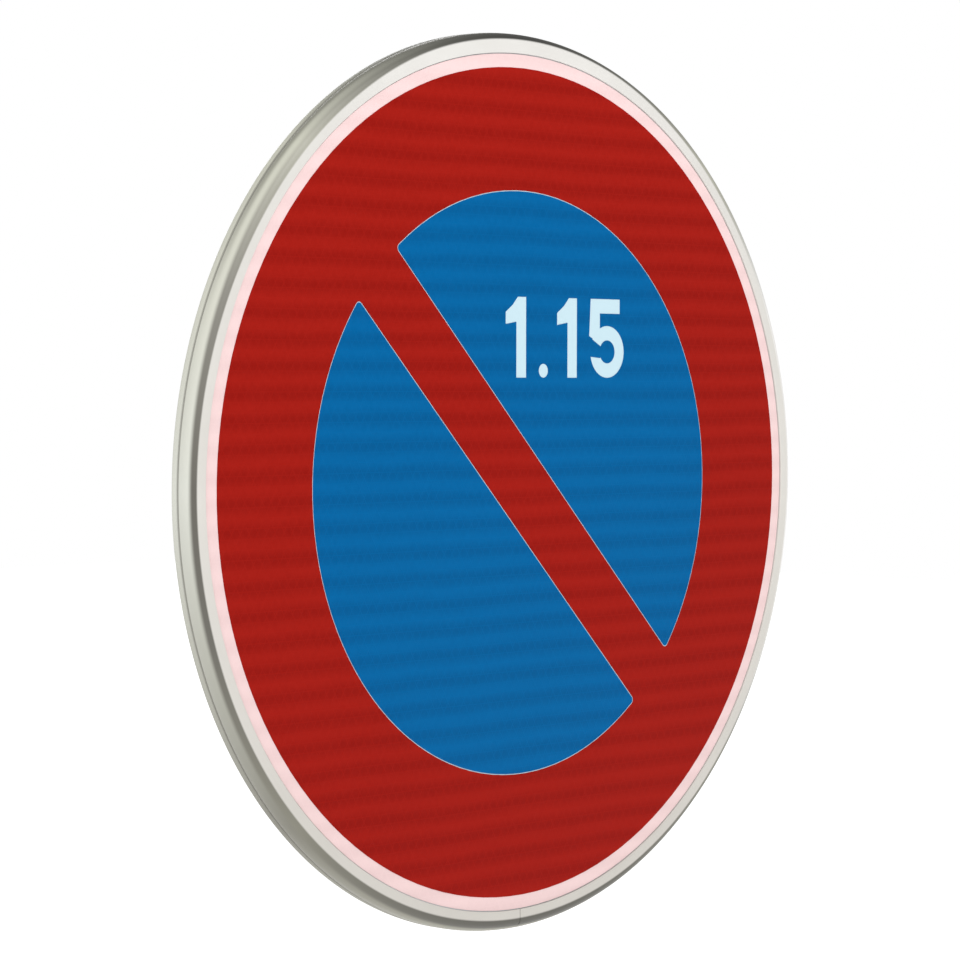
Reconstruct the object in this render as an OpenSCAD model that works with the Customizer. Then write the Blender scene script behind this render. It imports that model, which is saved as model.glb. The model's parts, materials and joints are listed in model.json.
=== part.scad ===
// Round no-parking road sign with its back rails and its clamps for a round post.
// Front faces -Y, +Z is up, and the origin lies on the post's axis at the height of the sign's centre.
// Depths called d are counted from the front plane of the coloured film towards the back.

/* [Sign face] */
// Overall diameter over the rim
sign_d = 650; // [600:5:1050]
// Thickness of the aluminium face plate
plate_t = 1.5; // [1:0.1:3]
// Thickness of the white retroreflective sheeting
sheeting_t = 0.4; // [0.2:0.1:0.8]
// Thickness of the coloured films laid on the sheeting
film_t = 0.2; // [0.1:0.05:0.4]
// Width of the white border between the red ring and the rim's lip
border_w = 9.7; // [5:0.1:20]
// Width of the red ring
ring_w = 88.3; // [50:0.1:110]
// Width of the red diagonal bar
bar_w = 51.7; // [30:0.1:80]
// Angle of the bar below the horizontal, from upper left to lower right
bar_angle = 45; // [35:1:55]
// Width of the bare line left between two films
film_gap = 0.6; // [0.4:0.1:3]
// Corner radius of the blue fields
field_corner_r = 3; // [1:0.5:8]

/* [Numerals] */
// Height of the numerals
numeral_h = 58.6; // [40:0.2:70]
// Stroke width of the numerals
stroke_w = 10.8; // [8:0.2:14]
// Width of a numeral 1 from its flag to its stem
one_w = 22.4; // [18:0.2:30]
// Width of the numeral 5
five_w = 40; // [34:0.2:46]
// Space after a numeral
numeral_gap = 13.8; // [6:0.2:16]
// Space after the full point
point_gap = 10; // [4:0.2:16]
// Diameter of the full point
point_d = 10.2; // [8:0.2:16]
// Place of the first numeral's lower left corner, across from the centre
numerals_x = -16; // [-30:1:0]
// Height of the numerals' foot above the centre
numerals_z = 76.4; // [60:0.2:90]

/* [Rim] */
// Depth of the rim behind the front plane
rim_depth = 18; // [16:0.5:24]
// Height of the front lip above the front plane
lip_proud = 0.8; // [0.4:0.1:2]
// Width of the flat front lip
lip_w = 7.2; // [5:0.1:12]
// Width of the rounded shoulder outside the lip
shoulder_w = 7.5; // [6:0.1:9]
// Radius of the shoulder's sharper, inner bend
bend_r = 6; // [4:0.5:7]
// Wall thickness of the rim profile
rim_wall = 1.8; // [1.4:0.1:2.4]
// Width of the flange at the back of the rim
flange_w = 18; // [14:0.5:24]
// Radius of the rim's back corner
back_corner_r = 2.5; // [1:0.1:3]
// Depth of the line rolled into the rim's side
groove_depth = 0.8; // [0.4:0.1:1]
// Width of the line rolled into the rim's side
groove_w = 1.8; // [1:0.1:3]
// Saw gap where the ends of the rim meet at the bottom
rim_joint_gap = 0.6; // [0.2:0.1:2]
// Gap between the sheeting's edge and the lip
lip_seam = 0.6; // [0.2:0.1:1.5]
// Play of the plate's edge in the rim's slot
plate_play = 0.5; // [0.2:0.1:1]
// Length of the splice plate inside the rim's joint
splice_len = 66; // [50:1:100]
// Thickness of the splice plate
splice_t = 2; // [1.5:0.1:3]

/* [Rails] */
// Distance between the two rails, centre to centre
rail_pitch = 320; // [240:5:380]
// Width of a rail's foot
rail_foot_w = 36; // [30:1:50]
// Height of a rail above its tape
rail_h = 12; // [11:0.5:14]
// Wall thickness of a rail
rail_wall = 2; // [1.6:0.1:2.4]
// Thickness of the lips beside the rail's slot
rail_lip_t = 2.2; // [1.8:0.1:3]
// Thickness of the foam bonding tape
tape_t = 1; // [0.5:0.1:2]
// Width of the foam bonding tape
tape_w = 30; // [20:1:34]
// Space between a rail's end and the rim's flange
rail_end_gap = 3; // [1:0.5:10]

/* [Post clamps] */
// Diameter of the round post that the clamps hold
post_d = 60; // [48:0.1:76]
// Height of a clamp along the post
clamp_h = 30; // [20:1:40]
// Space between the rim's back edge and the post
post_gap = 3.1; // [2:0.1:8]
// Wall thickness of the clamp's two half rings
collar_t = 4.5; // [3.5:0.5:7]
// Gap between the tightened halves
clamp_gap = 4; // [2:0.5:8]
// Space between a washer and the clamp's ring
washer_room = 3.5; // [2:0.5:10]
// Thickness of the strap's ears
ear_t = 6; // [5:0.5:10]
// Width of an ear or boss around its bolt
boss_w = 20; // [18:0.5:24]
// Radius of the saddle's outer corners
clamp_corner_r = 3; // [1:0.5:5]
// Radius of the strap's outer corners
ear_corner_r = 2; // [0.5:0.5:2.4]

/* [Fasteners] */
// Thread diameter of the clamp bolts, from which their standard heads, nuts and washers follow
bolt_d = 8; // [6:0.5:10]
// Length of thread that stands out of a tightened nut
bolt_tail = 4.2; // [2:0.2:12]
// Play of a bolt in the rail's slot
slot_play = 0.8; // [0.4:0.1:2]
// Diameter of the rivets through the rim's splice
rivet_d = 4; // [3:0.1:5]

/* [Hidden] */
$fn = 96;
cut = 1; // how far a cutting shape runs past the face it cuts

// Radii, from the rim inwards
sign_r = sign_d / 2;
lip_outer_r = sign_r - shoulder_w;
lip_inner_r = lip_outer_r - lip_w;
sheeting_r = lip_inner_r - lip_seam;
red_r = sheeting_r - border_w;
field_edge_r = red_r - ring_w;
blue_r = field_edge_r - film_gap;

// Depths behind the front plane
sheeting_d = film_t + sheeting_t;
plate_back_d = sheeting_d + plate_t;
shelf_t = 1.5; // thickness of the shelf that the plate's edge rests on
shelf_d = plate_back_d + shelf_t;
rail_front_d = plate_back_d + tape_t;
rail_back_d = rail_front_d + rail_h;
front_y = -(rim_depth + post_gap + post_d / 2);

// Rim
plate_hold = 1; // how far the plate reaches out past the flat lip
plate_r = lip_outer_r + plate_hold;
slot_r = plate_r + plate_play;
shelf_inner_r = slot_r - 6.3;
flange_r = sign_r - flange_w;
wall_inner_r = sign_r - rim_wall;
bend_tilt = 45; // where the sharper bend hands over to the wide one
wide_bend_r = (shoulder_w - bend_r * sin(bend_tilt)) / (1 - sin(bend_tilt));
bend_d = bend_r - lip_proud;
wide_bend_d = bend_d + (wide_bend_r - bend_r) * cos(bend_tilt);
groove_land = 1; // flat left between the shoulder and the rolled line
groove_d = wide_bend_d + groove_land + groove_w / 2;
bend_steps = 10;
splice_room = 2.5; // left free at both long edges of the splice plate
splice_inner_r = flange_r + splice_room;
splice_outer_r = wall_inner_r - splice_room;
rivet_ring_r = (splice_inner_r + splice_outer_r) / 2;
rivet_x = [for (share = [-0.36, -0.15, 0.15, 0.36]) share * splice_len];
rivet_head_d = 2 * rivet_d;
rivet_crown_d = 1.2 * rivet_d;
rivet_head_h = 1.3;
rivet_tail_d = 1.6 * rivet_d;
rivet_tail_h = 1.5;
rivet_hole_d = rivet_d + 0.1;

// Standard fasteners, all from the thread's diameter
hex_af = 1.625 * bolt_d;
head_h = 0.6625 * bolt_d;
nut_h = bolt_d;
nut_hex_h = 0.75 * bolt_d;
washer_d = 2 * bolt_d;
washer_t = 0.2 * bolt_d;
washer_bore = bolt_d + 0.4;
bolt_hole_d = bolt_d + 1;
tip_h = bolt_d / 10;
head_flat_d = 0.96 * hex_af; // round flat left on a head or nut by its chamfer
nut_top_d = 0.98 * hex_af;
chamfer_run = 4; // growth of the chamfer's diameter for each millimetre of height
nut_collar_d = 0.9 * hex_af;

// Rails
rail_z = rail_pitch / 2;
channel_w = hex_af + 0.4;
slot_w = bolt_d + slot_play;
rail_reach_z = rail_z + rail_foot_w / 2;
rail_len = 2 * (sqrt(flange_r * flange_r - rail_reach_z * rail_reach_z) - rail_end_gap);

// Clamps: distances behind the post's axis
post_r = post_d / 2;
collar_r = post_r + collar_t;
rail_y = front_y + rail_back_d;
bolt_x = collar_r + washer_room + washer_d / 2;
saddle_back_y = -clamp_gap / 2;
strap_front_y = clamp_gap / 2;
ear_y = strap_front_y + ear_t;
nut_y = ear_y + washer_t;
base_room = 1; // left between the saddle's base and the post
base_t = -post_r - rail_y - base_room;
head_y = rail_y - rail_lip_t;
bolt_len = nut_y + nut_h + bolt_tail - head_y;
nut_bore = bolt_d + 0.1;
insert_d = nut_bore + 2.4;
insert_h = 2;
insert_cover = 0.4; // metal rolled over the plastic ring
insert_z = nut_h - insert_h - insert_cover;
clamp_half_x = bolt_x + boss_w / 2;

// ---------- shapes used by several pieces ----------

// Turns a drawing (radius, depth) once round the sign's axis.
module revolved() {
    translate([0, front_y, 0]) rotate([-90, 0, 0]) rotate_extrude($fn = 240) children();
}

// Raises a front view (x, z) into a sheet whose back lies at depth d.
module sheet(d, t) {
    translate([0, front_y + d, 0]) rotate([90, 0, 0]) linear_extrude(t) children();
}

// Draws a cross-section (y, z) out along X over a length centred on x = 0.
module along_x(len) {
    rotate([90, 0, 90]) linear_extrude(len, center = true) children();
}

// Puts a copy of its children at each of a clamp's two bolts, turned so that local +Z points to the back.
module at_bolts(y, z) {
    for (x = [-bolt_x, bolt_x]) translate([x, y, z]) rotate([-90, 0, 0]) children();
}

// A segment of a disc above a chord, with both corners rounded.
module field(r, chord_h, corner_r) {
    x = sqrt(pow(r - corner_r, 2) - pow(chord_h + corner_r, 2));
    centre = [x, chord_h + corner_r];
    tangent = centre * r / (r - corner_r);
    difference() {
        intersection() {
            circle(r, $fn = 240);
            translate([-r, chord_h]) square([2 * r, r]);
        }
        for (side = [0, 1]) mirror([side, 0]) difference() {
            polygon([centre, [x, chord_h - cut], [r, chord_h - cut], tangent * (1 + cut / r)]);
            translate(centre) circle(corner_r);
        }
    }
}

// The numeral 1: a stem with a slanting flag.
module one() {
    stem_x = one_w - stroke_w;
    polygon([
        [0, 0.66 * numeral_h], [stem_x, 0.69 * numeral_h], [stem_x, 0], [one_w, 0],
        [one_w, numeral_h], [1.14 * stem_x, numeral_h], [0.66 * stem_x, 0.9 * numeral_h],
        [0, 0.81 * numeral_h]
    ]);
}

// The numeral 5: a top bar, a short stem and a round bowl open at the lower left.
module five() {
    bowl_r = 0.33 * numeral_h;
    bowl_x = five_w - bowl_r;
    stem_x = 0.04 * five_w;
    difference() {
        translate([bowl_x, bowl_r]) circle(bowl_r);
        translate([bowl_x, bowl_r]) circle(bowl_r - stroke_w);
        polygon([
            [bowl_x, bowl_r], [bowl_x - bowl_r + stroke_w, 0.76 * bowl_r],
            [-cut, 0.82 * bowl_r], [-cut, 1.6 * bowl_r]
        ]);
    }
    polygon([
        [stem_x, numeral_h], [0.88 * five_w, numeral_h], [0.88 * five_w, numeral_h - stroke_w],
        [stem_x + stroke_w, numeral_h - stroke_w], [stem_x + stroke_w, 1.8 * bowl_r],
        [0.5 * five_w, 1.6 * bowl_r], [0.25 * five_w, 1.36 * bowl_r], [0, 1.6 * bowl_r]
    ]);
}

// The characters 1, full point, 1 and 5 in a row.
module numerals() {
    translate([numerals_x, numerals_z]) {
        one();
        translate([one_w + numeral_gap + point_d / 2, point_d / 2]) circle(point_d / 2);
        translate([one_w + numeral_gap + point_d + point_gap, 0]) {
            one();
            translate([one_w + numeral_gap, 0]) five();
        }
    }
}

// ---------- panel ----------

module face_plate() {
    color("lightgray") revolved() translate([0, sheeting_d]) square([plate_r, plate_t]);
}

module white_sheeting() {
    color("white") revolved() translate([0, film_t]) square([sheeting_r, sheeting_t]);
}

// One film for the ring and the bar, with two windows for the blue fields.
module red_film() {
    color([0.64, 0.12, 0.1]) sheet(film_t, film_t) difference() {
        circle(red_r, $fn = 240);
        for (turn = [0, 180]) rotate(turn - bar_angle) field(field_edge_r, bar_w / 2, field_corner_r + film_gap);
    }
}

module blue_film_upper() {
    color([0.02, 0.4, 0.64]) sheet(film_t, film_t) difference() {
        rotate(-bar_angle) field(blue_r, bar_w / 2 + film_gap, field_corner_r);
        numerals();
    }
}

module blue_film_lower() {
    color([0.02, 0.4, 0.64]) sheet(film_t, film_t)
        rotate(180 - bar_angle) field(blue_r, bar_w / 2 + film_gap, field_corner_r);
}

// Cross-section of the rim bar: lip, two bends, side with a rolled line, back flange, and the plate's slot.
module rim_section() {
    polygon([
        [lip_inner_r, -lip_proud],
        for (i = [0:bend_steps])
            let (a = bend_tilt * i / bend_steps)
            [lip_outer_r + bend_r * sin(a), bend_d - bend_r * cos(a)],
        for (i = [1:bend_steps])
            let (a = bend_tilt + (90 - bend_tilt) * i / bend_steps)
            [sign_r - wide_bend_r * (1 - sin(a)), wide_bend_d - wide_bend_r * cos(a)],
        [sign_r, groove_d - groove_w / 2],
        [sign_r - groove_depth, groove_d - groove_w / 4],
        [sign_r - groove_depth, groove_d + groove_w / 4],
        [sign_r, groove_d + groove_w / 2],
        for (i = [0:bend_steps])
            let (a = 90 * i / bend_steps)
            [sign_r - back_corner_r * (1 - cos(a)), rim_depth - back_corner_r * (1 - sin(a))],
        [flange_r, rim_depth],
        [flange_r, rim_depth - rim_wall],
        [wall_inner_r, rim_depth - rim_wall],
        [wall_inner_r, wide_bend_d],
        [slot_r + 2 * rim_wall, shelf_d + rim_wall],
        [slot_r + rim_wall, shelf_d],
        [shelf_inner_r, shelf_d],
        [shelf_inner_r, plate_back_d],
        [slot_r, plate_back_d],
        [slot_r, sheeting_d],
        [lip_inner_r, sheeting_d]
    ]);
}

// Puts a copy of its children at each splice rivet, on the flange's back face, local +Z to the back.
module at_rivets() {
    for (x = rivet_x)
        translate([x, front_y + rim_depth, -sqrt(rivet_ring_r * rivet_ring_r - x * x)])
            rotate([-90, 0, 0]) children();
}

module rivet_holes() {
    at_rivets() translate([0, 0, -rim_wall - splice_t - cut])
        cylinder(d = rivet_hole_d, h = rim_wall + splice_t + 2 * cut);
}

// The bar is rolled to a ring, and its sawn ends meet at the bottom.
module rim_profile() {
    color("gainsboro") difference() {
        revolved() rim_section();
        translate([-rim_joint_gap / 2, front_y - lip_proud - cut, -sign_r - cut])
            cube([rim_joint_gap, rim_depth + lip_proud + 2 * cut, 2 * flange_w]);
        rivet_holes();
    }
}

module rim_splice() {
    color("darkgray") difference() {
        sheet(rim_depth - rim_wall, splice_t) intersection() {
            difference() {
                circle(splice_outer_r, $fn = 240);
                circle(splice_inner_r, $fn = 240);
            }
            translate([-splice_len / 2, -sign_r]) square([splice_len, sign_r]);
        }
        rivet_holes();
    }
}

module rim_rivets() {
    color("silver") at_rivets() {
        cylinder(d1 = rivet_head_d, d2 = rivet_crown_d, h = rivet_head_h);
        translate([0, 0, -rim_wall - splice_t]) cylinder(d = rivet_d, h = rim_wall + splice_t);
        translate([0, 0, -rim_wall - splice_t - rivet_tail_h]) cylinder(d = rivet_tail_d, h = rivet_tail_h);
    }
}

// ---------- rails ----------

module rail(z) {
    foot_y = front_y + rail_front_d;
    half_out = channel_w / 2 + rail_wall;
    color("silver") translate([0, 0, z]) along_x(rail_len) difference() {
        union() {
            translate([foot_y, -rail_foot_w / 2]) square([rail_wall, rail_foot_w]);
            translate([foot_y, -half_out]) square([rail_h, 2 * half_out]);
        }
        translate([foot_y + rail_wall, -channel_w / 2])
            square([rail_h - rail_wall - rail_lip_t, channel_w]);
        translate([foot_y + rail_wall, -slot_w / 2]) square([rail_h, slot_w]);
    }
}

module upper_rail() {
    rail(rail_z);
}

module lower_rail() {
    rail(-rail_z);
}

module rail_tape(z) {
    color("dimgray") translate([-rail_len / 2, front_y + plate_back_d, z - tape_w / 2])
        cube([rail_len, tape_t, tape_w]);
}

module upper_rail_tape() {
    rail_tape(rail_z);
}

module lower_rail_tape() {
    rail_tape(-rail_z);
}

// ---------- clamps ----------

// A block in plan from (x0, y0) to (x1, y1) with its two corners at x1 rounded to radius r.
module eared(x0, y0, x1, y1, r) {
    translate([x0, y0]) square([x1 - x0 - r, y1 - y0]);
    translate([x0, y0 + r]) square([x1 - x0, y1 - y0 - 2 * r]);
    for (y = [y0 + r, y1 - r]) translate([x1 - r, y]) circle(r);
}

// Front half of a clamp: flat against the rail, bored for the bolts, hollowed round the post.
module saddle(z) {
    color("lightsteelblue") difference() {
        translate([0, 0, z]) linear_extrude(clamp_h, center = true) difference() {
            union() {
                intersection() {
                    circle(collar_r);
                    translate([-collar_r, rail_y]) square([2 * collar_r, saddle_back_y - rail_y]);
                }
                for (side = [0, 1]) mirror([side, 0]) {
                    eared(bolt_x - boss_w / 2, rail_y, clamp_half_x, saddle_back_y, clamp_corner_r);
                    translate([0, rail_y]) square([bolt_x, base_t]);
                }
            }
            circle(post_r);
        }
        at_bolts(rail_y - cut, z) cylinder(d = bolt_hole_d, h = saddle_back_y - rail_y + 2 * cut);
    }
}

// Hex-headed bolts that slide in the rail, which keeps their heads from turning.
module bolts(z) {
    color("silver") at_bolts(head_y, z) {
        translate([0, 0, -head_h]) intersection() {
            cylinder(d = hex_af / cos(30), h = head_h, $fn = 6);
            cylinder(d1 = head_flat_d, d2 = head_flat_d + chamfer_run * head_h, h = head_h);
        }
        cylinder(d = bolt_d, h = bolt_len - tip_h);
        translate([0, 0, bolt_len - tip_h]) cylinder(d1 = bolt_d, d2 = bolt_d - 2 * tip_h, h = tip_h);
    }
}

// Back half of a clamp: a half ring with two ears.
module strap(z) {
    color("lightsteelblue") difference() {
        translate([0, 0, z]) linear_extrude(clamp_h, center = true) difference() {
            union() {
                intersection() {
                    circle(collar_r);
                    translate([-collar_r, strap_front_y]) square([2 * collar_r, collar_r]);
                }
                for (side = [0, 1]) mirror([side, 0])
                    eared(post_r - cut, strap_front_y, clamp_half_x, ear_y, ear_corner_r);
            }
            circle(post_r);
        }
        at_bolts(strap_front_y - cut, z) cylinder(d = bolt_hole_d, h = ear_t + 2 * cut);
    }
}

module washers(z) {
    color("silver") at_bolts(ear_y, z) difference() {
        cylinder(d = washer_d, h = washer_t);
        translate([0, 0, -cut]) cylinder(d = washer_bore, h = washer_t + 2 * cut);
    }
}

// Lock nuts: six-sided below, a round collar above that holds a plastic ring.
module nuts(z) {
    color("silver") at_bolts(nut_y, z) difference() {
        union() {
            intersection() {
                cylinder(d = hex_af / cos(30), h = nut_hex_h, $fn = 6);
                cylinder(d1 = head_flat_d, d2 = head_flat_d + chamfer_run * nut_hex_h, h = nut_hex_h);
                cylinder(d1 = nut_top_d + chamfer_run * nut_hex_h, d2 = nut_top_d, h = nut_hex_h);
            }
            cylinder(d = nut_collar_d, h = nut_h);
        }
        translate([0, 0, -cut]) cylinder(d = nut_bore, h = nut_h + 2 * cut);
        translate([0, 0, insert_z]) cylinder(d = insert_d, h = insert_h);
    }
}

module nut_inserts(z) {
    color("royalblue") at_bolts(nut_y + insert_z, z) difference() {
        cylinder(d = insert_d, h = insert_h);
        translate([0, 0, -cut]) cylinder(d = nut_bore, h = insert_h + 2 * cut);
    }
}

module upper_saddle() { saddle(rail_z); }
module upper_bolts() { bolts(rail_z); }
module upper_strap() { strap(rail_z); }
module upper_washers() { washers(rail_z); }
module upper_nuts() { nuts(rail_z); }
module upper_nut_inserts() { nut_inserts(rail_z); }
module lower_saddle() { saddle(-rail_z); }
module lower_bolts() { bolts(-rail_z); }
module lower_strap() { strap(-rail_z); }
module lower_washers() { washers(-rail_z); }
module lower_nuts() { nuts(-rail_z); }
module lower_nut_inserts() { nut_inserts(-rail_z); }

face_plate();
white_sheeting();
red_film();
blue_film_upper();
blue_film_lower();
rim_profile();
rim_splice();
rim_rivets();
upper_rail();
lower_rail();
upper_rail_tape();
lower_rail_tape();
upper_saddle();
upper_bolts();
upper_strap();
upper_washers();
upper_nuts();
upper_nut_inserts();
lower_saddle();
lower_bolts();
lower_strap();
lower_washers();
lower_nuts();
lower_nut_inserts();
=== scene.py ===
import json

import bmesh
import bpy
import numpy as np
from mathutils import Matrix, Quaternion, Vector

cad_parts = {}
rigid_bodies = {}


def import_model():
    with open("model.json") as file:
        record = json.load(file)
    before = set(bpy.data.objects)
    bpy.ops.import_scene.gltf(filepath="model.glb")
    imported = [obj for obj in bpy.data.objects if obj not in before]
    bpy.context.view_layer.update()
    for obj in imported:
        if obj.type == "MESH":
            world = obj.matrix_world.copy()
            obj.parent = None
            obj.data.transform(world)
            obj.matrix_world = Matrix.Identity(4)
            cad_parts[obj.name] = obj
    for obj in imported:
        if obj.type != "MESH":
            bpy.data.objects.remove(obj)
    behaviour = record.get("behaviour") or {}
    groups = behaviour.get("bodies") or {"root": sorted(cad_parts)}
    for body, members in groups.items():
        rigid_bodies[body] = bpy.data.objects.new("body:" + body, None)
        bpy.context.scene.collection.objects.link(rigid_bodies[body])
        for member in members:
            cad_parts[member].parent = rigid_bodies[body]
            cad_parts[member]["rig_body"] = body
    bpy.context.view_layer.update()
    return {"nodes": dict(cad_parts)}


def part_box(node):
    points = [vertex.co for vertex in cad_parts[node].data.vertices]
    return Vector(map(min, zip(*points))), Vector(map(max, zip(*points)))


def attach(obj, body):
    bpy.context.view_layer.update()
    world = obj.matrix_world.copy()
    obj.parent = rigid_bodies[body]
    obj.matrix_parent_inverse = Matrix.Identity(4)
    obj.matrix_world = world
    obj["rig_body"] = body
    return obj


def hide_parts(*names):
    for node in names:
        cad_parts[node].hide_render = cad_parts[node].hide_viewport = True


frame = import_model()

nodes = frame["nodes"]

# ---------- Rim ----------
# An aluminium bar, extruded with a plate slot and a back flange, rolled to a ring round the face plate and
# sawn off square where its ends meet at the bottom. It is lacquered light grey. A dark band of painted shade
# lies on the tight bend beside the front lip, and lip, bend and side carry painted light and shade round the
# ring.

MM = 0.001
rim_low, rim_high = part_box("rim_profile")
SIGN_R = (rim_high.z - rim_low.z) / 2
LIP_Y = rim_low.y
RIM_BACK_Y = rim_high.y
LIP_PROUD = 0.8 * MM
FACE_Y = LIP_Y + LIP_PROUD
SHOULDER_W = 7.5 * MM
LIP_W = 7.2 * MM
SAW_GAP = 0.6 * MM


def arc(centre_r, centre_d, radius, start_deg, end_deg, steps):
    """Points of an arc in the (radius, depth) plane: centre + radius * (sin a, -cos a), a in even steps."""
    a = np.radians(np.linspace(start_deg, end_deg, steps))
    return np.c_[centre_r + radius * np.sin(a), centre_d - radius * np.cos(a)]


def rim_section():
    """Closed outline of the bar as (radius, depth behind the face): lip, two bends, side with a rolled line,
    back corner, flange, inner wall, shelf and plate slot. Corners are small arcs of their true radius."""
    lip_out = SIGN_R - SHOULDER_W
    lip_in = lip_out - LIP_W
    tight, wall, flange = 6.0 * MM, 1.8 * MM, 18.0 * MM
    tilt = 45.0
    wide = (SHOULDER_W - tight * np.sin(np.radians(tilt))) / (1 - np.sin(np.radians(tilt)))
    bend_d = tight - LIP_PROUD
    wide_d = bend_d + (wide - tight) * np.cos(np.radians(tilt))
    groove_d, groove_half, groove_deep = wide_d + 1.9 * MM, 0.9 * MM, 0.8 * MM
    depth = RIM_BACK_Y - FACE_Y
    back_r = 2.5 * MM
    edge = 0.3 * MM
    groove_s = np.linspace(-1, 1, 13)
    groove_r = SIGN_R - groove_deep * np.cos(groove_s * np.pi / 2) ** 2
    groove = np.c_[groove_r, groove_d + groove_s * groove_half]
    slot_r, slot_front, slot_back, shelf = SIGN_R - 6.0 * MM, 0.6 * MM, 2.1 * MM, 1.5 * MM
    return np.vstack([
        arc(lip_in + edge, -LIP_PROUD + edge, edge, -90, 0, 5),
        arc(lip_out, bend_d, tight, 0, tilt, 14),
        arc(SIGN_R - wide, wide_d, wide, tilt, 90, 14)[1:],
        groove,
        arc(SIGN_R - back_r, depth - back_r, back_r, 90, 180, 12),
        arc(SIGN_R - flange + wall / 2, depth - wall / 2, wall / 2, 180, 360, 9),
        [[SIGN_R - wall, depth - wall], [SIGN_R - wall, wide_d],
         [slot_r + 2 * wall, slot_back + shelf + wall],
         [slot_r + wall, slot_back + shelf], [slot_r - 3.5 * wall, slot_back + shelf],
         [slot_r - 3.5 * wall, slot_back], [slot_r, slot_back], [slot_r, slot_front], [lip_in, slot_front]],
    ])


def new_piece(name, points, faces, body, slot, replaced=(), sharp_deg=35.0):
    """A mesh from arrays of points and faces, smooth but for edges past sharp_deg, riding on a CAD body."""
    mesh = bpy.data.meshes.new(name)
    mesh.from_pydata(np.asarray(points, float).tolist(), [], [list(map(int, f)) for f in faces])
    mesh.validate()
    mesh.update()
    mesh.polygons.foreach_set("use_smooth", np.ones(len(mesh.polygons), bool))
    mesh.set_sharp_from_angle(angle=np.radians(sharp_deg))
    piece = bpy.data.objects.new(name, mesh)
    bpy.context.scene.collection.objects.link(piece)
    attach(piece, body)
    if replaced:
        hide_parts(*replaced)
    return piece


def grid_faces(rows, columns, close_rows=False, close_columns=False):
    """Quads of a grid stored row by row: (i, j), (i, j+1), (i+1, j+1), (i+1, j), wrapped where it closes."""
    i = np.arange(rows if close_rows else rows - 1)[:, None]
    j = np.arange(columns if close_columns else columns - 1)[None, :]
    i2, j2 = (i + 1) % rows, (j + 1) % columns
    quads = np.stack([i * columns + j, i * columns + j2, i2 * columns + j2, i2 * columns + j], axis=-1)
    return quads.reshape(-1, 4)


def ring_from_section(section, first_deg, last_deg, steps):
    """Turns a closed section about the sign's axis: x = r cos a, z = r sin a, y = face + d, for a from
    first_deg to last_deg, with both sawn ends closed by the section itself."""
    a = np.radians(np.linspace(first_deg, last_deg, steps))[:, None]
    r, d = section[:, 0][None, :], section[:, 1][None, :]
    count = len(section)
    y = np.broadcast_to(FACE_Y + d, (steps, count))
    points = np.stack([r * np.cos(a), y, r * np.sin(a)], axis=-1)
    faces = grid_faces(steps, count, close_columns=True).tolist()
    faces.append(list(range(count))[::-1])
    faces.append(list(range((steps - 1) * count, steps * count)))
    return points.reshape(-1, 3), faces


SAME_SPOT = 1e-7  # metres, joins only points laid on top of each other


def facing_out(piece):
    """Merges doubles and turns every face outwards, for a closed shell."""
    work = bmesh.new()
    work.from_mesh(piece.data)
    bmesh.ops.remove_doubles(work, verts=work.verts, dist=SAME_SPOT)
    bmesh.ops.recalc_face_normals(work, faces=work.faces)
    work.to_mesh(piece.data)
    work.free()
    return piece


saw_half_deg = np.degrees(SAW_GAP / 2 / SIGN_R)
rim = new_piece(
    "rim_ring", *ring_from_section(rim_section(), -90 + saw_half_deg, 270 - saw_half_deg, 481),
    "panel", "rim_aluminium", ["rim_profile"], sharp_deg=50.0)
facing_out(rim)


def linear(hex_colour):
    """sRGB hex to linear RGBA: c / 12.92 below 0.04045, else ((c + 0.055) / 1.055) ** 2.4."""
    c = np.array([int(hex_colour[i:i + 2], 16) for i in (1, 3, 5)]) / 255
    c = np.where(c <= 0.04045, c / 12.92, ((c + 0.055) / 1.055) ** 2.4)
    return (*c.tolist(), 1.0)


def add(tree, kind, settings=None, **inputs):
    """Adds a node. settings are its properties; each input is a value, or an output socket to link from.
    An input's name has _ for a space, and in3 means the fourth input."""
    node = tree.nodes.new(kind)
    for key, value in (settings or {}).items():
        setattr(node, key, value)
    for key, value in inputs.items():
        numbered = key[:2] == "in" and key[2:].isdigit()
        socket = node.inputs[int(key[2:])] if numbered else node.inputs[key.replace("_", " ")]
        if isinstance(value, bpy.types.NodeSocket):
            tree.links.new(value, socket)
        else:
            socket.default_value = value
    return node


def material(name):
    """An empty node material: (material, tree, object coordinates, shader)."""
    made = bpy.data.materials.new(name)
    made.use_nodes = True
    tree = made.node_tree
    shader = tree.nodes["Principled BSDF"]
    place = add(tree, "ShaderNodeTexCoord").outputs["Object"]
    return made, tree, place, shader


def math(tree, operation, *values, clamp=False):
    """One Math node over values or sockets, and its result."""
    node = add(tree, "ShaderNodeMath", {"operation": operation, "use_clamp": clamp},
               **{f"in{i}": v for i, v in enumerate(values)})
    return node.outputs[0]


def noise(tree, place, per_metre, detail=3.0, stretch=(1, 1, 1)):
    """Noise with a given number of blobs to the metre, stretched per axis; 0 to 1."""
    stretched = add(tree, "ShaderNodeMapping", Vector=place, Scale=stretch).outputs[0]
    return add(tree, "ShaderNodeTexNoise", Vector=stretched, Scale=per_metre, Detail=detail).outputs["Fac"]


def ramp(tree, value, stops):
    """A colour ramp through (position, hex colour) stops."""
    node = add(tree, "ShaderNodeValToRGB", Fac=value)
    while len(node.color_ramp.elements) < len(stops):
        node.color_ramp.elements.new(1.0)
    for element, (position, colour) in zip(node.color_ramp.elements, stops):
        element.position = position
        element.color = linear(colour)
    return node.outputs["Color"]


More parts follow.
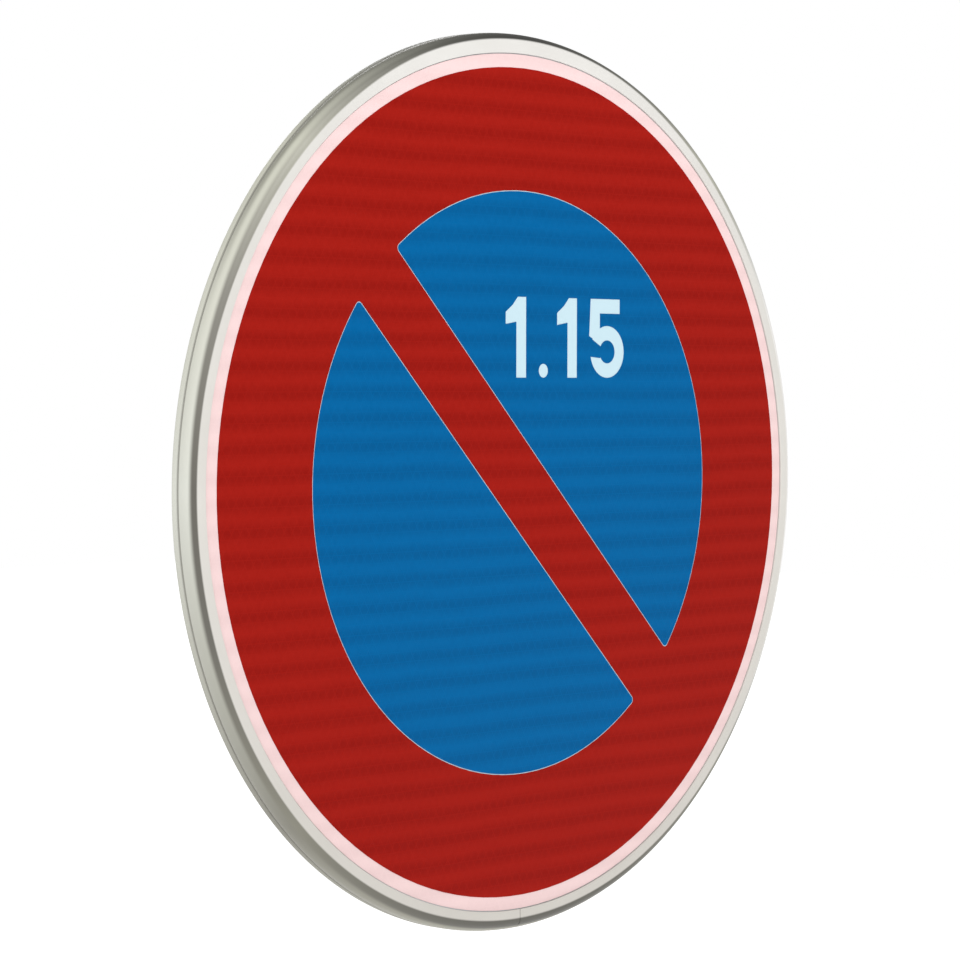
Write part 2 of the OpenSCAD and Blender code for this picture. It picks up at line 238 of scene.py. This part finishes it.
def spread(tree, value, low, high, to_low=0.0, to_high=1.0, smooth=True):
    """Maps value from low..high to to_low..to_high, held at the ends."""
    return add(tree, "ShaderNodeMapRange", {"interpolation_type": "SMOOTHSTEP" if smooth else "LINEAR"},
               Value=value, From_Min=low, From_Max=high, To_Min=to_low, To_Max=to_high).outputs["Result"]


def mix(tree, factor, first, second, how="MIX"):
    """Mixes two colours or colour sockets."""
    return add(tree, "ShaderNodeMix", {"data_type": "RGBA", "blend_type": how},
               in0=factor, in6=first, in7=second).outputs[2]


def bump(tree, height, distance, strength=1.0):
    """A bump normal from a height 0 to 1 that stands for distance in metres."""
    return add(tree, "ShaderNodeBump", Height=height, Distance=distance, Strength=strength).outputs["Normal"]


def rim_lacquer():
    """Grey lacquer on extruded aluminium: fine lines run round the ring, as the bar was drawn that way.
    Lip, tight bend and side each have painted light and shade that change from the foot of the ring to its
    top."""
    made, tree, place, shader = material("grey_lacquer_on_aluminium")
    x, y, z = add(tree, "ShaderNodeSeparateXYZ", Vector=place).outputs[:3]
    radius = math(tree, "SQRT", math(tree, "ADD", math(tree, "MULTIPLY", x, x), math(tree, "MULTIPLY", z, z)))
    section = add(tree, "ShaderNodeCombineXYZ", X=radius, Y=y, Z=0.0).outputs[0]
    die_lines = noise(tree, section, 900.0, 2.0)  # real lines are 0.3 mm apart; drawn 1.1 mm apart to show
    blotch = noise(tree, place, 16.0, 4.0)
    # how high a spot sits on the ring: up from -1 at its foot to 1 at its top, rise from 0 to 1
    up = math(tree, "DIVIDE", z, SIGN_R)
    rise = math(tree, "ADD", math(tree, "MULTIPLY", up, 0.5), 0.5)
    # painted light and shade: the lip is painted lighter towards the top of the ring and darker towards its
    # foot
    lip_painted_shading = ramp(tree, rise, [(0.0, "#C0BCB5"), (0.5, "#CDCAC4"), (0.86, "#CCCAC5"), (1.0, "#D1CFCB")])
    base = mix(tree, spread(tree, blotch, 0.3, 0.7, 0.0, 0.12), lip_painted_shading, linear("#A9A69E"))
    # painted shade: the side is painted darker where it faces down and near black at the very top; the tight
    # bend beside the lip is painted as a dark band
    side_painted_shading = ramp(tree, rise, [(0.0, "#8A887C"), (0.15, "#76746A"), (0.35, "#A8A89E"), (0.5, "#C7C8BF"),
                                  (0.7, "#C2C2B6"), (0.86, "#B6B6A8"), (1.0, "#33322E")])
    bend_painted_shade = ramp(tree, rise, [(0.0, "#55534D"), (0.15, "#79776B"), (0.35, "#605E57"), (0.5, "#5E5B54"),
                                  (0.7, "#7C7A72"), (0.86, "#A09F93"), (1.0, "#262522")])
    # on the right side the bend's painted shade gives way to a light painted tone
    right_side_painted_light = spread(tree, math(tree, "DIVIDE", x, SIGN_R), 0.7, 0.95)
    bend_painted_shade = mix(tree, right_side_painted_light, bend_painted_shade, linear("#DEDDD9"))
    # the band of painted shade wanders: out by 2 mm at the very top, in by 1.4 mm at the shoulders
    out_at_top = math(tree, "MULTIPLY", math(tree, "POWER", up, 5.0), 2.0 * MM)
    shoulder = math(tree, "MULTIPLY", spread(tree, up, 0.1, 0.6), spread(tree, up, 0.97, 0.8))
    shift = math(tree, "SUBTRACT", out_at_top, math(tree, "MULTIPLY", shoulder, 1.4 * MM))
    from_lip = math(tree, "SUBTRACT", math(tree, "SUBTRACT", radius, SIGN_R - 6.6 * MM), shift)
    inner = spread(tree, from_lip, -0.8 * MM, 0.8 * MM)
    outer = math(tree, "MAXIMUM", spread(tree, radius, SIGN_R - 3.6 * MM, SIGN_R - 1.4 * MM),
                 spread(tree, y, FACE_Y + 3.0 * MM, FACE_Y + 6.3 * MM))
    base = mix(tree, inner, base, mix(tree, outer, bend_painted_shade, side_painted_shading))
    # painted shade: the side 4 to 12 mm behind the face is darkened on the upper part of the ring
    upper_side_shade = math(tree, "MULTIPLY", spread(tree, y, FACE_Y + 4.0 * MM, FACE_Y + 7.5 * MM),
                spread(tree, y, FACE_Y + 12.5 * MM, FACE_Y + 11.0 * MM))
    upper_side_shade = math(tree, "MULTIPLY", spread(tree, up, 0.3, 0.75), upper_side_shade)
    base = mix(tree, math(tree, "MULTIPLY", upper_side_shade, 0.6), base, linear("#5E5D52"))
    # painted shade darkens the rolled groove in the side
    groove = math(tree, "MULTIPLY", spread(tree, y, FACE_Y + 9.4 * MM, FACE_Y + 10.4 * MM),
                  spread(tree, y, FACE_Y + 12.4 * MM, FACE_Y + 11.2 * MM))
    base = mix(tree, math(tree, "MULTIPLY", groove, 0.6), base, linear("#77756E"))
    tree.links.new(base, shader.inputs["Base Color"])
    tree.links.new(spread(tree, die_lines, 0.3, 0.7, 0.38, 0.5), shader.inputs["Roughness"])
    tree.links.new(bump(tree, die_lines, 0.00003), shader.inputs["Normal"])
    shader.inputs["IOR"].default_value = 1.5
    shader.inputs["Specular IOR Level"].default_value = 0.3
    return made


rim.data.materials.append(rim_lacquer())

# ---------- Face films ----------
# White prismatic sheeting covers the plate, and two transparent overlay films colour it: red for the ring and
# bar, blue for the fields, with the numerals weeded out of the blue. Under the gloss lie rows of tiny cube
# corners, sealed in cells, which give a fine lattice and faint level bands across the whole sign.


def sheeting(name, light, dark, gloss, contrast, inner_tint=None):
    """Retroreflective film. Lattice: three sets of lines 60 degrees apart, f = |fract(p . n / pitch) - 0.5|,
    the sealed walls of cells 3 mm across, drawn 7 mm across to show. Bands: rows of tooling 18.6 mm high.
    Inside the red ring a painted blue light takes over, standing for light that strays sideways from the blue
    film."""
    made, tree, place, shader = material(name)
    pitch = 7.0 * MM
    walls = None
    for turn in (30.0, 90.0, 150.0):
        across = (np.cos(np.radians(turn)) / pitch, 0.0, np.sin(np.radians(turn)) / pitch)
        dot = add(tree, "ShaderNodeVectorMath", {"operation": "DOT_PRODUCT"}, in0=place, in1=across)
        along = dot.outputs["Value"]
        line = math(tree, "ABSOLUTE", math(tree, "SUBTRACT", math(tree, "FRACT", along), 0.5))
        line = spread(tree, line, 0.08, 0.0)
        walls = line if walls is None else math(tree, "MAXIMUM", walls, line)
    z = add(tree, "ShaderNodeSeparateXYZ", Vector=place).outputs["Z"]
    band_pitch = 18.6 * MM
    drift = math(tree, "MULTIPLY", noise(tree, place, 7.0, 2.0), 0.5)
    turns = math(tree, "ADD", math(tree, "DIVIDE", z, band_pitch), drift)
    wave = math(tree, "SINE", math(tree, "MULTIPLY", turns, 2 * np.pi))
    wave = math(tree, "MULTIPLY", math(tree, "ADD", wave, 1.0), 0.5)
    patch = noise(tree, place, 260.0, 2.0)
    cloud = noise(tree, place, 9.0, 3.0)
    tone = math(tree, "ADD", math(tree, "MULTIPLY", wave, 0.45), math(tree, "MULTIPLY", patch, 0.35))
    tone = math(tree, "ADD", tone, math(tree, "MULTIPLY", cloud, 0.2))
    base = mix(tree, tone, linear(dark), linear(light))
    base = mix(tree, math(tree, "MULTIPLY", walls, contrast), base, linear(light))
    # painted light: a blue cast on the white sheeting inside the red ring
    if inner_tint:
        from_centre = add(tree, "ShaderNodeVectorMath", {"operation": "LENGTH"}, in0=place).outputs["Value"]
        inside = spread(tree, from_centre, SIGN_R - 25.0 * MM, SIGN_R - 110.0 * MM)
        base = mix(tree, inside, base, linear(inner_tint))
    tree.links.new(base, shader.inputs["Base Color"])
    tree.links.new(spread(tree, patch, 0.3, 0.7, gloss, gloss + 0.12), shader.inputs["Roughness"])
    tree.links.new(bump(tree, walls, 0.00005, 0.6), shader.inputs["Normal"])
    shader.inputs["IOR"].default_value = 1.5
    shader.inputs["Specular IOR Level"].default_value = 0.03
    return made


def dress(name, made):
    """Gives a CAD node's object a new material."""
    nodes[name].data.materials.clear()
    nodes[name].data.materials.append(made)


white_film = sheeting("white_prismatic_sheeting", "#E4C9C8", "#D8BDBC", 0.3, 0.25, inner_tint="#B9D1DA")
red_film = sheeting("red_overlay_film", "#9B1A11", "#800F09", 0.3, 0.35)
blue_film = sheeting("blue_overlay_film", "#005F99", "#004D80", 0.3, 0.35)
dress("white_sheeting", white_film)
dress("red_film", red_film)
dress("blue_film_upper", blue_film)
dress("blue_film_lower", blue_film)

# ---------- Face plate ----------
# A disc of 1.5 mm aluminium sheet, laser cut and left mill finished at the back, held in the rim's slot.
# Its rolling direction runs up the sign, and its weathered oxide is cloudy.


def mill_finish(name, light, dark, grain_axis):
    """Rolled or extruded aluminium: streaks 25 to 1 along the working direction, cloudy oxide over them."""
    made, tree, place, shader = material(name)
    stretch = [1.0, 1.0, 1.0]
    stretch["xyz".index(grain_axis)] = 0.04
    streak = noise(tree, place, 700.0, 3.0, stretch)  # grain 0.2 mm wide, drawn 1.4 mm wide to show
    cloud = noise(tree, place, 12.0, 5.0)
    tone = math(tree, "ADD", math(tree, "MULTIPLY", streak, 0.5), math(tree, "MULTIPLY", cloud, 0.5))
    tree.links.new(ramp(tree, tone, [(0.32, dark), (0.68, light)]), shader.inputs["Base Color"])
    tree.links.new(spread(tree, tone, 0.3, 0.7, 0.34, 0.5), shader.inputs["Roughness"])
    tree.links.new(bump(tree, streak, 0.00002), shader.inputs["Normal"])
    shader.inputs["Metallic"].default_value = 1.0
    return made


dress("face_plate", mill_finish("mill_finished_aluminium_sheet", "#C9CBCD", "#A9ACAF", "z"))

# ---------- Splice and rivets ----------
# A strip of aluminium bridges the sawn ends of the rim inside its back flange. Four blind rivets hold it;
# each has a low domed head with the broken stub of its steel mandrel sunk in the middle.

MERGE_DISTANCE = 2e-6  # metres, under any real feature


def softened(node_name, piece_name, width, made, segments=2):
    """A copy of a CAD node: corners merged, flat faces joined, edges broken by a rounded bevel."""
    work = bmesh.new()
    work.from_mesh(nodes[node_name].data)
    bmesh.ops.remove_doubles(work, verts=work.verts, dist=MERGE_DISTANCE)
    bmesh.ops.dissolve_limit(work, angle_limit=np.radians(1.0), verts=work.verts, edges=work.edges)
    bmesh.ops.recalc_face_normals(work, faces=work.faces)
    mesh = bpy.data.meshes.new(piece_name)
    work.to_mesh(mesh)
    work.free()
    mesh.polygons.foreach_set("use_smooth", np.ones(len(mesh.polygons), bool))
    mesh.set_sharp_from_angle(angle=np.radians(30))
    mesh.materials.append(made)
    piece = bpy.data.objects.new(piece_name, mesh)
    bpy.context.scene.collection.objects.link(piece)
    bevel = piece.modifiers.new("edges", "BEVEL")
    bevel.width = width
    bevel.segments = segments
    bevel.limit_method = "ANGLE"
    bevel.angle_limit = np.radians(40)
    bevel.harden_normals = True
    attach(piece, nodes[node_name]["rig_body"])
    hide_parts(node_name)
    return piece


extruded = mill_finish("extruded_aluminium", "#D3D5D6", "#B4B7B9", "x")
softened("rim_splice", "splice_strip", 0.3 * MM, extruded)


def spun(centre, r, y, a):
    """Points about the Y axis through centre (x, z), row by row: x + r cos a, y, z + r sin a."""
    x, z = centre[0] + r * np.cos(a), centre[1] + r * np.sin(a)
    return np.stack([x, np.broadcast_to(y, r.shape), z], axis=-1).reshape(-1, 3)


def lathed(name, profile, steps, centres, body, slot, replaced, made, closed=False):
    """One piece of several equal turned shells, each a profile of (radius, y) carried round a circle.
    An open profile starts and ends on the axis."""
    a = np.linspace(0, 2 * np.pi, steps, endpoint=False)[None, :]
    r = np.broadcast_to(profile[:, :1], (len(profile), steps))
    shells = [spun(centre, r, profile[:, 1:], a) for centre in centres]
    faces = [grid_faces(len(profile), steps, closed, True) + i * r.size for i in range(len(centres))]
    piece = new_piece(name, np.vstack(shells), np.vstack(faces), body, slot, replaced)
    facing_out(piece)
    piece.data.materials.append(made)
    return piece


def solid_centres(node_name):
    """The middle (x, z) of each separate solid of a CAD node, from its merged, connected corners."""
    work = bmesh.new()
    work.from_mesh(nodes[node_name].data)
    bmesh.ops.remove_doubles(work, verts=work.verts, dist=MERGE_DISTANCE)
    unseen, found = set(work.verts), []
    while unseen:
        island, frontier = set(), [unseen.pop()]
        while frontier:
            vertex = frontier.pop()
            island.add(vertex)
            for link in vertex.link_edges:
                other = link.other_vert(vertex)
                if other in unseen:
                    unseen.discard(other)
                    frontier.append(other)
        co = np.array([v.co for v in island])
        found.append(((co[:, 0].min() + co[:, 0].max()) / 2, (co[:, 2].min() + co[:, 2].max()) / 2))
    work.free()
    return sorted(found)


rivet_low, rivet_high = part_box("rim_rivets")
HEAD_R, SHANK_R, HEAD_H = 4.0 * MM, 2.0 * MM, rivet_high.y - RIM_BACK_Y
AXIS_R = 1e-6  # a turned profile starts and ends this close to its axis
CROWN_R = 1.2 * MM
stub_y = RIM_BACK_Y + HEAD_H * 0.55
dome = np.radians(np.linspace(0, 90, 10))
rivet_profile = np.vstack([
    [[AXIS_R, stub_y], [0.8 * MM, stub_y], [1.0 * MM, RIM_BACK_Y + HEAD_H]],
    np.c_[CROWN_R + (HEAD_R - CROWN_R) * np.sin(dome), RIM_BACK_Y + HEAD_H * np.cos(dome) ** 0.7],
    [[SHANK_R, RIM_BACK_Y], [SHANK_R, rivet_low.y + 1.5 * MM], [3.0 * MM, rivet_low.y + 1.3 * MM],
     [3.2 * MM, rivet_low.y + 0.7 * MM], [2.4 * MM, rivet_low.y], [AXIS_R, rivet_low.y]],
])
lathed("splice_rivets", rivet_profile, 36, solid_centres("rim_rivets"), "panel", "rivet_aluminium",
       ["rim_rivets"], mill_finish("drawn_aluminium_rivet", "#D8DADB", "#BFC2C4", "y"))

# ---------- Rails and their tape ----------
# Two extruded C rails, bonded to the plate by acrylic foam tape. The open slot takes bolt heads, and drawing
# through the die leaves long straight lines on every face.

for side in ("upper", "lower"):
    softened(f"{side}_rail", f"{side}_rail_bar", 0.35 * MM, extruded)


def foam():
    """Acrylic foam tape: dark grey and matt, its cut edge pitted by bubbles under a millimetre across."""
    made, tree, place, shader = material("acrylic_foam")
    bubbles = add(tree, "ShaderNodeTexVoronoi", Vector=place, Scale=1400.0).outputs["Distance"]
    tree.links.new(ramp(tree, bubbles, [(0.1, "#2B2C2E"), (0.6, "#45474A")]), shader.inputs["Base Color"])
    tree.links.new(bump(tree, bubbles, 0.0001), shader.inputs["Normal"])
    shader.inputs["Roughness"].default_value = 0.85
    return made


foam_tape = foam()
for side in ("upper", "lower"):
    dress(f"{side}_rail_tape", foam_tape)

# ---------- Clamps ----------
# Each clamp is a saddle and a strap sawn from extruded aluminium, bored for two bolts, then tumbled, so the
# edges are broken and the skin is evenly dull with small dents.


def tumbled_aluminium():
    """Tumbled aluminium: even dull grey, stone marks a millimetre or two across, faint sawn lines."""
    made, tree, place, shader = material("tumbled_aluminium")
    cells = add(tree, "ShaderNodeTexVoronoi", {"feature": "SMOOTH_F1"}, Vector=place, Scale=650.0)
    marks = cells.outputs["Distance"]
    lines = noise(tree, place, 900.0, 2.0, (1.0, 1.0, 0.06))
    cloud = noise(tree, place, 40.0, 4.0)
    tone = math(tree, "ADD", math(tree, "MULTIPLY", cloud, 0.6), math(tree, "MULTIPLY", lines, 0.4))
    tree.links.new(ramp(tree, tone, [(0.3, "#A7A9AB"), (0.7, "#C6C8C9")]), shader.inputs["Base Color"])
    tree.links.new(spread(tree, tone, 0.3, 0.7, 0.4, 0.56), shader.inputs["Roughness"])
    height = math(tree, "ADD", math(tree, "MULTIPLY", marks, 0.6), math(tree, "MULTIPLY", lines, 0.4))
    tree.links.new(bump(tree, height, 0.00008), shader.inputs["Normal"])
    shader.inputs["Metallic"].default_value = 1.0
    return made


tumbled = tumbled_aluminium()
for side in ("upper", "lower"):
    softened(f"{side}_saddle", f"{side}_saddle_block", 0.6 * MM, tumbled, 3)
    softened(f"{side}_strap", f"{side}_strap_ring", 0.6 * MM, tumbled, 3)

# ---------- Bolts, washers and lock nuts ----------
# Zinc-plated M8 bolts with rolled threads, their heads held in the rail; stamped washers with one rounded
# side; lock nuts whose turned collar is rolled over a blue nylon ring.

THREAD_PITCH = 1.25 * MM
THREAD_DEPTH = 0.62 * MM
HEX_HALF = 6.5 * MM
HEAD_RINGS = (0.0, 0.35, 0.7, 0.9, 0.955)  # rings on the head's flat end, as shares of HEX_HALF
HEAD_CHAMFER = 1.3 * MM
BOLT_R = 4.0 * MM
BARE_SHANK = 30 * MM
AROUND = 72


def hexagon(angle):
    """Distance from the centre to a hexagon's side, as a share of half its width across flats; its
    corners lie at 0, 60, 120 degrees and so on: 1 / cos((angle mod 60) - 30)."""
    return 1 / np.cos((angle % (np.pi / 3)) - np.pi / 6)


def bolt_points(centre, head_y, under_y, end_y, steps):
    """Hex head, shank and thread on one grid of angle and row. In the head the radius is the smaller of the
    hexagon and a 30 degree cone; in the thread it is BOLT_R less a depth that follows a triangle wave of
    (y / pitch - angle / turn), faded out over the first and last turn."""
    a = np.linspace(0, 2 * np.pi, steps, endpoint=False)[None, :]
    radii = [np.full_like(a, share * HEX_HALF) for share in HEAD_RINGS]
    ys = [head_y] * len(HEAD_RINGS)
    for drop in np.linspace(0.05, 1.0, 14) * HEAD_CHAMFER:
        cone = HEAD_RINGS[-1] * HEX_HALF + drop * np.tan(np.radians(60))
        radii.append(np.minimum(hexagon(a) * HEX_HALF, cone))
        ys.append(head_y + drop)
    radii += [hexagon(a) * HEX_HALF, hexagon(a) * HEX_HALF * 0.985, np.full_like(a, 1.1 * BOLT_R)]
    ys += [under_y - 0.1 * MM, under_y, under_y]
    thread_from, thread_to = under_y + BARE_SHANK, end_y
    radii += [np.full_like(a, BOLT_R), np.full_like(a, BOLT_R)]
    ys += [under_y + 0.1 * MM, thread_from]
    for y in np.arange(thread_from, thread_to - 0.8 * MM, THREAD_PITCH / 8):
        phase = (y / THREAD_PITCH - a / (2 * np.pi)) % 1.0
        wave = np.clip(np.abs(phase - 0.5) * 2.6 - 0.1, 0, 1)
        fade_in = np.clip((y - thread_from) / THREAD_PITCH, 0, 1)
        fade = fade_in * np.clip((thread_to - y) / THREAD_PITCH, 0.3, 1)
        radii.append(BOLT_R - THREAD_DEPTH * wave * fade)
        ys.append(y)
    radii += [np.full_like(a, BOLT_R - 0.8 * MM), np.full_like(a, 0.0)]
    ys += [end_y, end_y]
    r = np.vstack(radii)
    return spun(centre, r, np.array(ys)[:, None], a), len(ys)


def zinc_plate():
    """Zinc plate, clear passivated: bright bluish grey, faintly cloudy in tone and in sheen."""
    made, tree, place, shader = material("zinc_plated_steel")
    cloud = noise(tree, place, 260.0, 4.0)
    fine = noise(tree, place, 1500.0, 2.0)
    tree.links.new(ramp(tree, cloud, [(0.3, "#B4B9BF"), (0.7, "#D0D4D9")]), shader.inputs["Base Color"])
    tree.links.new(spread(tree, cloud, 0.3, 0.7, 0.24, 0.38), shader.inputs["Roughness"])
    tree.links.new(bump(tree, fine, 0.00002), shader.inputs["Normal"])
    shader.inputs["Metallic"].default_value = 1.0
    return made


def nylon():
    """Dyed nylon ring: semi-matt, a little uneven where the thread has cut it."""
    made, tree, place, shader = material("blue_nylon")
    cloud = noise(tree, place, 900.0, 3.0)
    tree.links.new(ramp(tree, cloud, [(0.3, "#27539C"), (0.7, "#3A6BB8")]), shader.inputs["Base Color"])
    tree.links.new(bump(tree, cloud, 0.00005), shader.inputs["Normal"])
    shader.inputs["Roughness"].default_value = 0.45
    shader.inputs["IOR"].default_value = 1.53
    return made


zinc = zinc_plate()
blue_nylon = nylon()
HEAD_HEIGHT = 5.3 * MM
FOOT_CHAMFER, TOP_CHAMFER = 1.2 * MM, 1.4 * MM
CONE_SLOPE = 1.73  # a 30 degree chamfer runs out this far for each unit of height
for side in ("upper", "lower"):
    low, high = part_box(f"{side}_bolts")
    centres = solid_centres(f"{side}_bolts")
    shells, faces, start = [], [], 0
    for centre in centres:
        points, rows = bolt_points(centre, low.y, low.y + HEAD_HEIGHT, high.y, AROUND)
        shells.append(points)
        faces.append(grid_faces(rows, AROUND, close_columns=True) + start)
        start += len(points)
    bolts = new_piece(f"{side}_clamp_bolts", np.vstack(shells), np.vstack(faces), f"{side}_clamp",
                      "zinc_steel", [f"{side}_bolts"], sharp_deg=28.0)
    facing_out(bolts)
    bolts.data.materials.append(zinc)

    low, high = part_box(f"{side}_washers")
    inner, outer = 4.2 * MM, (high.z - low.z) / 2
    roll = np.radians(np.linspace(0, 90, 6))
    washer_profile = np.vstack([
        [[inner, low.y], [outer - 0.1 * MM, low.y], [outer, low.y + 0.1 * MM]],
        np.c_[outer - 0.4 * MM + 0.4 * MM * np.cos(roll), high.y - 0.4 * MM + 0.4 * MM * np.sin(roll)],
        [[inner + 0.2 * MM, high.y], [inner, high.y - 0.2 * MM]],
    ])
    lathed(f"{side}_flat_washers", washer_profile, 64, centres, f"{side}_strap", "zinc_steel",
           [f"{side}_washers"], zinc, closed=True)

    low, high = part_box(f"{side}_nuts")
    a = np.linspace(0, 2 * np.pi, AROUND, endpoint=False)[None, :]
    flank = hexagon(a) * HEX_HALF
    bore, collar, hex_top = 4.05 * MM, 5.85 * MM, low.y + 6.0 * MM
    seat, ring_r = high.y - 2.4 * MM, bore + 1.2 * MM
    rows = [(bore, low.y + 0.5 * MM), (bore + 0.5 * MM, low.y), (0.96 * HEX_HALF, low.y)]
    radii, ys = [np.full_like(a, r) for r, _ in rows], [y for _, y in rows]
    for step in np.linspace(0.1, 1.0, 8):
        radii.append(np.minimum(flank, 0.96 * HEX_HALF + step * FOOT_CHAMFER * CONE_SLOPE))
        ys.append(low.y + step * FOOT_CHAMFER)
    for step in np.linspace(1.0, 0.0, 10):
        radii.append(np.minimum(flank, 0.94 * HEX_HALF + step * TOP_CHAMFER * CONE_SLOPE))
        ys.append(hex_top - step * TOP_CHAMFER)
    for r, y in [(collar, hex_top), (collar, high.y - 0.7 * MM), (collar - 0.25 * MM, high.y - 0.2 * MM),
                 (collar - 0.7 * MM, high.y), (bore + 0.5 * MM, high.y - 0.1 * MM),
                 (bore + 0.35 * MM, high.y - 0.4 * MM), (ring_r, high.y - 0.4 * MM), (ring_r, seat),
                 (bore, seat)]:
        radii.append(np.full_like(a, r))
        ys.append(y)
    r, y = np.vstack(radii), np.array(ys)[:, None]
    shells = [spun(centre, r, y, a) for centre in centres]
    faces = [grid_faces(len(ys), AROUND, True, True) + i * r.size for i in range(len(centres))]
    nuts = new_piece(f"{side}_lock_nuts", np.vstack(shells), np.vstack(faces), f"{side}_strap",
                     "zinc_steel", [f"{side}_nuts"], sharp_deg=28.0)
    facing_out(nuts)
    nuts.data.materials.append(zinc)

    low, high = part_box(f"{side}_nut_inserts")
    bulge = np.linspace(-1, 1, 9)
    insert_profile = np.vstack([
        np.c_[bore + 0.1 * MM * bulge ** 2, (low.y + high.y) / 2 + bulge * (high.y - low.y) / 2],
        [[ring_r, high.y], [ring_r, low.y]],
    ])
    lathed(f"{side}_nylon_rings", insert_profile, 64, centres, f"{side}_strap", "nylon",
           [f"{side}_nut_inserts"], blue_nylon, closed=True)

# ---------- Studio ----------
# A pale, plain floor well below the hanging sign, an even white room, and soft lamps to the left,
# above the front, and behind.


def studio_floor():
    """A flat square of 40 m, matt and nearly white, 1.2 m below the sign's lowest edge."""
    mesh = bpy.data.meshes.new("studio_floor")
    half, z = 20.0, rim_low.z - 1.2
    corners = [(-half, -half, z), (half, -half, z), (half, half, z), (-half, half, z)]
    mesh.from_pydata(corners, [], [(0, 1, 2, 3)])
    floor = bpy.data.objects.new("studio_floor", mesh)
    bpy.context.scene.collection.objects.link(floor)
    made, tree, place, shader = material("pale_floor_paint")
    paint = ramp(tree, noise(tree, place, 3.0), [(0.3, "#FAFAFA"), (0.7, "#FFFFFF")])
    tree.links.new(paint, shader.inputs["Base Color"])
    shader.inputs["Roughness"].default_value = 0.9
    shader.inputs["Emission Color"].default_value = (1.0, 1.0, 1.0, 1.0)
    shader.inputs["Emission Strength"].default_value = 0.5
    mesh.materials.append(made)


studio_floor()

world = bpy.data.worlds.new("studio_room")
world.use_nodes = True
bpy.context.scene.world = world
room = world.node_tree
background = room.nodes["Background"]
direction = add(room, "ShaderNodeTexCoord").outputs["Generated"]
wx, wy, wz = add(room, "ShaderNodeSeparateXYZ", Vector=direction).outputs[:3]
# the room lights from the left, the front and a little from above
level = math(room, "ADD", 0.66, math(room, "MULTIPLY", wx, -0.18))
level = math(room, "ADD", level, math(room, "MULTIPLY", wy, -0.10))
level = math(room, "ADD", level, math(room, "MULTIPLY", wz, 0.12))
path = add(room, "ShaderNodeLightPath")
# reflections see a dimmer room, and the camera sees plain white
dim = math(room, "MULTIPLY", level, 0.6)
glossy, to_camera = path.outputs["Is Glossy Ray"], path.outputs["Is Camera Ray"]
seen = add(room, "ShaderNodeMix", {"data_type": "FLOAT"}, in0=glossy, in2=level, in3=dim).outputs[0]
seen = add(room, "ShaderNodeMix", {"data_type": "FLOAT"}, in0=to_camera, in2=seen, in3=1.0).outputs[0]
room.links.new(seen, background.inputs["Strength"])
background.inputs["Color"].default_value = (1.0, 1.0, 1.0, 1.0)


def soft_lamp(name, place, size, watts):
    """A square area lamp of that size, in metres, turned so that its -Z looks from place to the sign."""
    data = bpy.data.lights.new(name, "AREA")
    data.shape = "SQUARE"
    data.size = size
    data.energy = watts
    lamp = bpy.data.objects.new(name, data)
    lamp.location = place
    lamp.rotation_euler = (-Vector(place)).to_track_quat("-Z", "Y").to_euler()
    bpy.context.scene.collection.objects.link(lamp)


soft_lamp("left_lamp", (-2.6, -0.6, 0.5), size=1.4, watts=12)
soft_lamp("top_lamp", (-0.1, -1.2, 1.2), size=0.8, watts=11)
soft_lamp("back_lamp", (1.4, 2.2, 1.2), size=1.4, watts=24)

# The camera stands to the left of the sign, nearly level with its centre.
SENSOR_MM, LENS_MM = 36.0, 123.66
ROLL_DEG = -0.089
camera_data = bpy.data.cameras.new("camera")
camera_data.sensor_width = SENSOR_MM
camera_data.lens = LENS_MM
camera = bpy.data.objects.new("camera", camera_data)
camera.location = Vector((-1.7844, FACE_Y - 1.5913, 0.0752))
look = Vector((0.73782, 0.67430, -0.03054))
roll = Quaternion(look, np.radians(ROLL_DEG))
camera.rotation_euler = (roll @ look.to_track_quat("-Z", "Y")).to_euler()
bpy.context.scene.collection.objects.link(camera)
bpy.context.scene.camera = camera
bpy.context.scene.view_settings.view_transform = "Standard"
